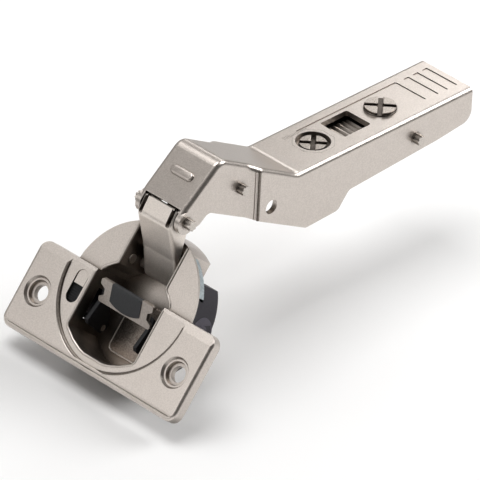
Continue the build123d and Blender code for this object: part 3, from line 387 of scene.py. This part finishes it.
# Pins and rivets
# Turned steel rod, left in its drawn finish. The arm's pins are pressed through the sheet, and end in
# fluted stubs outside it.
stub_r, stub_length, flute_depth = 1.28, 1.9, 0.80
pin_steel = plated("drawn_pin_steel", "#D2CBC4", "#BDB6AF", 0.36, 0.3, 0.00001, 0.7, "#4A423C")
for pin_node in ("outer_link_pin", "inner_link_pin", "rear_pin", "latch_pin", "outer_cup_pin",
                 "inner_cup_pin", "lever_rivet_left", "lever_rivet_right", "damper_rod_left",
                 "damper_rod_right"):
    wear(pin_node, pin_steel)
for stub_name, stub_body, stub_x, stub_z, stub_y in (
        ("outer_pin_stub", "arm", -92.4, 0.45, 7.0),
        ("inner_pin_stub", "arm", -75.5, 2.9, 7.0),
        ("rear_pin_stub", "rear_pin", -18.7, -6.1, 8.55)):
    for hand, side in (("left", 1), ("right", -1)):
        stub_mesh = bpy.data.meshes.new(stub_name + "_" + hand)
        bm = bmesh.new()
        bmesh.ops.create_cone(bm, cap_ends=True, segments=32, radius1=stub_r, radius2=stub_r,
                              depth=stub_length, matrix=Matrix.Rotation(pi / 2, 4, "X"))
        for vertex in bm.verts:
            angle = Vector((vertex.co.x, vertex.co.z)).angle_signed(Vector((1, 0)))
            if round(angle / (2 * pi) * 32) % 4 in (1, 2):
                vertex.co.x *= flute_depth
                vertex.co.z *= flute_depth
        bmesh.ops.translate(bm, verts=bm.verts[:],
                            vec=(stub_x, side * (stub_y + stub_length / 2), stub_z))
        bm.transform(arm_frame)
        bm.to_mesh(stub_mesh)
        bm.free()
        stub_mesh.materials.append(pin_steel)
        stub = bpy.data.objects.new(stub_name + "_" + hand, stub_mesh)
        scene.collection.objects.link(stub)
        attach(stub, stub_body)

# Rolled edges of the cup
# The sheet is turned over a small radius round the pocket, the flange slot, the floor's panel and the
# plate's lower edge, so each edge carries a light line with a dark one beside it. The tubes are painted a
# little lighter than the sheet and with less painted shade, a painted highlight. The points are in
# millimetres in the cup's own frame, tilted with the cup.
cup_frame = (Matrix.Translation((-0.0703647, 0.0, -0.00777454)) @ Matrix.Rotation(-radians(51.355), 4, "Y")
             @ Matrix.Scale(0.001, 4))
lit_edge_nickel = plated("nickel_plated_rolled_edge_painted_highlight", "#D8D0C9", "#CCC4BC", 0.34, 0.30, 0.00001, 0.5)
for roll_name, roll_r, roll_z, roll_points in (
        ("plate_mouth_roll", 0.34, -0.72, [
            (1.3, 11.05), (-6.0, 11.05), (-12.2, 11.05), (-13.1, 10.5), (-14.9, 7.6), (-16.1, 4.6),
            (-16.45, 3.0), (-16.45, -3.0), (-16.1, -4.6), (-14.9, -7.6), (-13.1, -10.5), (-12.2, -11.05),
            (-6.0, -11.05), (1.3, -11.05)]),
        ("flange_mouth_roll_left", 0.34, -2.35, [
            (2.4, 11.1), (3.3, 10.6), (4.3, 9.4), (5.6, 7.8), (6.6, 7.7), (16.2, 7.7)]),
        ("flange_mouth_roll_right", 0.34, -2.35, [
            (2.4, -11.1), (3.3, -10.6), (4.3, -9.4), (5.6, -7.8), (6.6, -7.7), (16.2, -7.7)]),
        ("floor_panel_roll", 0.24, -12.0, [
            (-2.0, 6.0), (-12.2, 6.0), (-13.1, 5.6), (-13.45, 4.7), (-13.45, -5.5)]),
        ("lower_hem", 0.72, -0.88, [
            (-18.0, 27.5), (-18.73, 27.03), (-19.14, 26.4), (-19.28, 25.7), (-19.28, 8.0), (-19.28, -8.0),
            (-19.28, -25.7), (-19.14, -26.4), (-18.73, -27.03), (-18.0, -27.5)]),
        ("lower_step", 0.42, -0.41, [
            (-18.42, 27.3), (-18.42, 10.0), (-18.42, -10.0), (-18.42, -27.3)])):
    roll_curve = bpy.data.curves.new(roll_name, "CURVE")
    roll_curve.dimensions = "3D"
    roll_curve.bevel_depth = roll_r / 1000
    roll_curve.bevel_resolution = 3
    roll_curve.use_fill_caps = True
    roll_line = roll_curve.splines.new("POLY")
    roll_line.points.add(len(roll_points) - 1)
    for index, (roll_x, roll_y) in enumerate(roll_points):
        roll_line.points[index].co = (*(cup_frame @ Vector((roll_x, roll_y, roll_z))), 1.0)
    roll_curve.materials.append(lit_edge_nickel)
    roll = bpy.data.objects.new(roll_name, roll_curve)
    scene.collection.objects.link(roll)
    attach(roll, "cup")

# Valley round the dish
# A valley where the plate steps down round the cup, pressed with the plate, drawn as a dark tube: painted
# shade. It is narrow at its ends and again at the middle of the plate's lower side.
moat_steps, moat_r, moat_depth = 44, 18.60, 0.4
moat_curve = bpy.data.curves.new("dish_moat", "CURVE")
moat_curve.dimensions = "3D"
moat_curve.bevel_depth = 0.00040
moat_curve.bevel_resolution = 2
moat_line = moat_curve.splines.new("POLY")
moat_line.points.add(moat_steps)
for index in range(moat_steps + 1):
    moat_angle = radians(89.5 + 181 * index / moat_steps)
    moat_width = min(1.45, 0.8 + 0.1 * index, 1.30 + 0.04 * abs(24 - index),
                     0.8 + 0.1 * (moat_steps - index))
    moat_place = cup_frame @ Vector((moat_r * cos(moat_angle), moat_r * sin(moat_angle),
                                     -0.08 - moat_depth * moat_width))
    moat_line.points[index].co = (*moat_place, 1.0)
    moat_line.points[index].radius = moat_width
moat_curve.materials.append(painted_shade_metal)
moat = bpy.data.objects.new("dish_moat", moat_curve)
scene.collection.objects.link(moat)
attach(moat, "cup")

# Raised panel in the pocket's floor
# A flat panel pressed up in the drawn floor, with a rounded edge that catches the light. It is painted
# darker and a little duller than the plate, its darkness painted shade deep in the pocket.
panel_length, panel_width, panel_height = 13.8, 12.2, 1.1
panel_mesh = bpy.data.meshes.new("pocket_floor_panel")
bm = bmesh.new()
bmesh.ops.create_cube(bm, size=1.0, matrix=Matrix.Translation((-6.6, 0.0, -12.45))
                      @ Matrix.Diagonal((panel_length, panel_width, panel_height, 1)))
upright_edges = [e for e in bm.edges if abs(e.verts[0].co.z - e.verts[1].co.z) > 0.5]
bmesh.ops.bevel(bm, geom=upright_edges, offset=1.6, offset_type="OFFSET", segments=6, profile=0.5,
                affect="EDGES", clamp_overlap=True, material=-1)
top_edges = [e for e in bm.edges if min(v.co.z for v in e.verts) > -12.2]
bmesh.ops.bevel(bm, geom=top_edges, offset=0.4, offset_type="OFFSET", segments=4, profile=0.5,
                affect="EDGES", clamp_overlap=True, material=-1)
for face in bm.faces:
    face.smooth = True
bm.transform(cup_frame)
bm.to_mesh(panel_mesh)
bm.free()
pocket_shade_metal = plated("pocket_floor_steel_painted_shade", "#8C837B", "#6A615A", 0.34, 0.35, 0.00004, 3.0, "#3E3630")
panel_mesh.materials.append(pocket_shade_metal)
panel = bpy.data.objects.new("pocket_floor_panel", panel_mesh)
scene.collection.objects.link(panel)
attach(panel, "cup")

# Tooling holes in the slot's walls
# A punched hole in each wall beside the links, closed behind by the damper housing. The solid has no hole
# there, so it is drawn as a shaded disc in a rim.
hole_r, rim_r = 1.2, 1.35
hole_metal = plated("shaded_hole_wall", "#2B2521", "#1D1916", 0.60, 0.25, 0.00001)
for hand, side in (("left", 1), ("right", -1)):
    tooling_mesh = bpy.data.meshes.new("tooling_hole_" + hand)
    bm = bmesh.new()
    bmesh.ops.create_cone(bm, cap_ends=True, segments=32, radius1=hole_r, radius2=hole_r, depth=0.2)
    tooling_disc = len(bm.faces)
    bmesh.ops.create_cone(bm, cap_ends=False, segments=32, radius1=rim_r, radius2=1.22, depth=0.3)
    for index, face in enumerate(bm.faces):
        face.material_index = 0 if index < tooling_disc else 1
        face.smooth = len(face.verts) == 4
    bm.transform(cup_frame @ Matrix.Translation((7.63, 7.5 * side, -6.2))
                 @ Matrix.Rotation(pi / 2 * side, 4, "X"))
    bm.to_mesh(tooling_mesh)
    bm.free()
    tooling_mesh.materials.append(hole_metal)
    tooling_mesh.materials.append(lit_edge_nickel)
    tooling = bpy.data.objects.new("tooling_hole_" + hand, tooling_mesh)
    scene.collection.objects.link(tooling)
    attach(tooling, "cup")

# Springs
# The closing spring in the arm's front and the leaf behind the latch. Hardened strip steel, oiled and not
# plated, so darker and smoother than the sheet.
spring_steel = plated("oiled_spring_steel", "#8A8580", "#6E6A66", 0.30, 0.4, 0.00001)
for spring_node in ("closing_spring", "latch_spring"):
    wear(spring_node, spring_steel)

# Castings: lever bracket, latch, damper cylinders, retaining strips
# Zinc pressure castings, tumbled. The bracket is a warm pale grey, the rest a cool blue-grey.
bracket_zinc = plated("pale_zinc_casting", "#B5ADA6", "#A39B94", 0.45, 0.5, 0.00004, 1.5)
wear("lever_bracket", bracket_zinc)
cast_zinc = plated("tumbled_zinc_casting", "#C3CDD1", "#A9B4B8", 0.36, 0.5, 0.00003, 1.5, "#56605F")
for zinc_node in ("release_latch", "damper_cylinder_left", "damper_cylinder_right",
                  "retaining_strip_left", "retaining_strip_right"):
    wear(zinc_node, cast_zinc)

# Plastic parts: damper housings, lever pad and cheeks
# Glass-filled nylon, injection moulded, with a fine spark-eroded grain that dulls its shine.
# The housings have a violet cast, the pad is a neutral grey and the cheeks and the slider are near black.
def moulded(name, dark, light):
    """Moulded nylon: a fine grain in its tint and a shallow bump."""
    nylon = bpy.data.materials.new(name)
    nylon.use_nodes = True
    tree = nylon.node_tree
    shader = tree.nodes["Principled BSDF"]
    place = add_node(tree, "ShaderNodeTexCoord").outputs["Object"]
    grain = add_node(tree, "ShaderNodeTexNoise", inputs={"Scale": 1000 / 0.4, "Detail": 2.0},
                     links={"Vector": place})
    tint = add_node(tree, "ShaderNodeValToRGB", links={"Fac": grain.outputs["Fac"]})
    tint.color_ramp.elements[0].color = linear(dark)
    tint.color_ramp.elements[1].color = linear(light)
    bump = add_node(tree, "ShaderNodeBump", inputs={"Strength": 0.4, "Distance": 0.00003},
                    links={"Height": grain.outputs["Fac"]})
    tree.links.new(tint.outputs["Color"], shader.inputs["Base Color"])
    tree.links.new(bump.outputs["Normal"], shader.inputs["Normal"])
    shader.inputs["Roughness"].default_value = 0.55
    shader.inputs["Specular IOR Level"].default_value = 0.3
    return nylon


violet_nylon = moulded("moulded_violet_nylon", "#26232A", "#322F36")
for housing_node in ("damper_housing_left", "damper_housing_right"):
    wear(housing_node, violet_nylon)
pad_nylon = moulded("moulded_grey_nylon", "#343537", "#3F4042")
wear("lever_pad", pad_nylon)
black_nylon = moulded("moulded_black_nylon", "#1D1D1F", "#29292B")
for cheek_node in ("lever_cheek_left", "lever_cheek_right"):
    wear(cheek_node, black_nylon)

# Bosses on the damper housings
# A round boss on each housing's curved outer wall, with a smaller one in its middle, moulded with it and
# smoother, so lighter. Only the rim of each disc follows the curve, so the larger one sinks into the wall
# in places.
boss_thick = 0.4
boss_nylon = moulded("polished_violet_nylon", "#4A4650", "#56525C")
for hand, side in (("left", 1), ("right", -1)):
    for boss_name, boss_r, boss_out in (
            ("housing_boss_", 3.9, 17.37),
            ("housing_boss_middle_", 2.0, 17.45)):
        boss_mesh = bpy.data.meshes.new(boss_name + hand)
        bm = bmesh.new()
        bmesh.ops.create_circle(bm, cap_ends=True, segments=48, radius=boss_r)
        for vertex in bm.verts:
            boss_x, boss_z = vertex.co.x + 0.4, vertex.co.y - 8.9
            vertex.co = (boss_x, side * (boss_out ** 2 - boss_x ** 2) ** 0.5, boss_z)
        boss_skin = bmesh.ops.extrude_face_region(bm, geom=bm.faces[:], use_keep_orig=True)["geom"]
        inner_skin = [part for part in boss_skin if isinstance(part, bmesh.types.BMVert)]
        bmesh.ops.translate(bm, verts=inner_skin, vec=(0.0, -boss_thick * side, 0.0))
        bmesh.ops.recalc_face_normals(bm, faces=bm.faces[:])
        bm.transform(cup_frame)
        bm.to_mesh(boss_mesh)
        bm.free()
        boss_mesh.materials.append(boss_nylon)
        boss = bpy.data.objects.new(boss_name + hand, boss_mesh)
        scene.collection.objects.link(boss)
        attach(boss, "cup")

# Slider
# The damper's on and off switch: a moulded black plate under the slot with a block below it, and a comb of
# six finger ridges across its top.
slider_mesh = bpy.data.meshes.new("slider_look")
bm = bmesh.new()
for slider_x, slider_y, slider_length, slider_width, slider_top, slider_low in (
        (-5.3, 13.95, 6.2, 4.0, -1.55, -2.1),
        (-5.1, 13.65, 5.6, 3.2, -2.1, -2.85),
        *[(-7.35 + 0.62 * index, 13.65, 0.3, 3.0, -1.32, -1.6) for index in range(6)]):
    slider_place = Matrix.Translation((slider_x, slider_y, (slider_top + slider_low) / 2))
    slider_size = Matrix.Diagonal((slider_length, slider_width, slider_top - slider_low, 1))
    bmesh.ops.create_cube(bm, size=1.0, matrix=slider_place @ slider_size)
bmesh.ops.bevel(bm, geom=bm.edges[:], offset=0.06, offset_type="OFFSET", segments=2, profile=0.5,
                affect="EDGES", clamp_overlap=True, material=-1)
bm.transform(cup_frame)
bm.to_mesh(slider_mesh)
bm.free()
slider_mesh.materials.append(black_nylon)
slider = bpy.data.objects.new("slider_look", slider_mesh)
scene.collection.objects.link(slider)
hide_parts("switch_slider")
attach(slider, "switch")
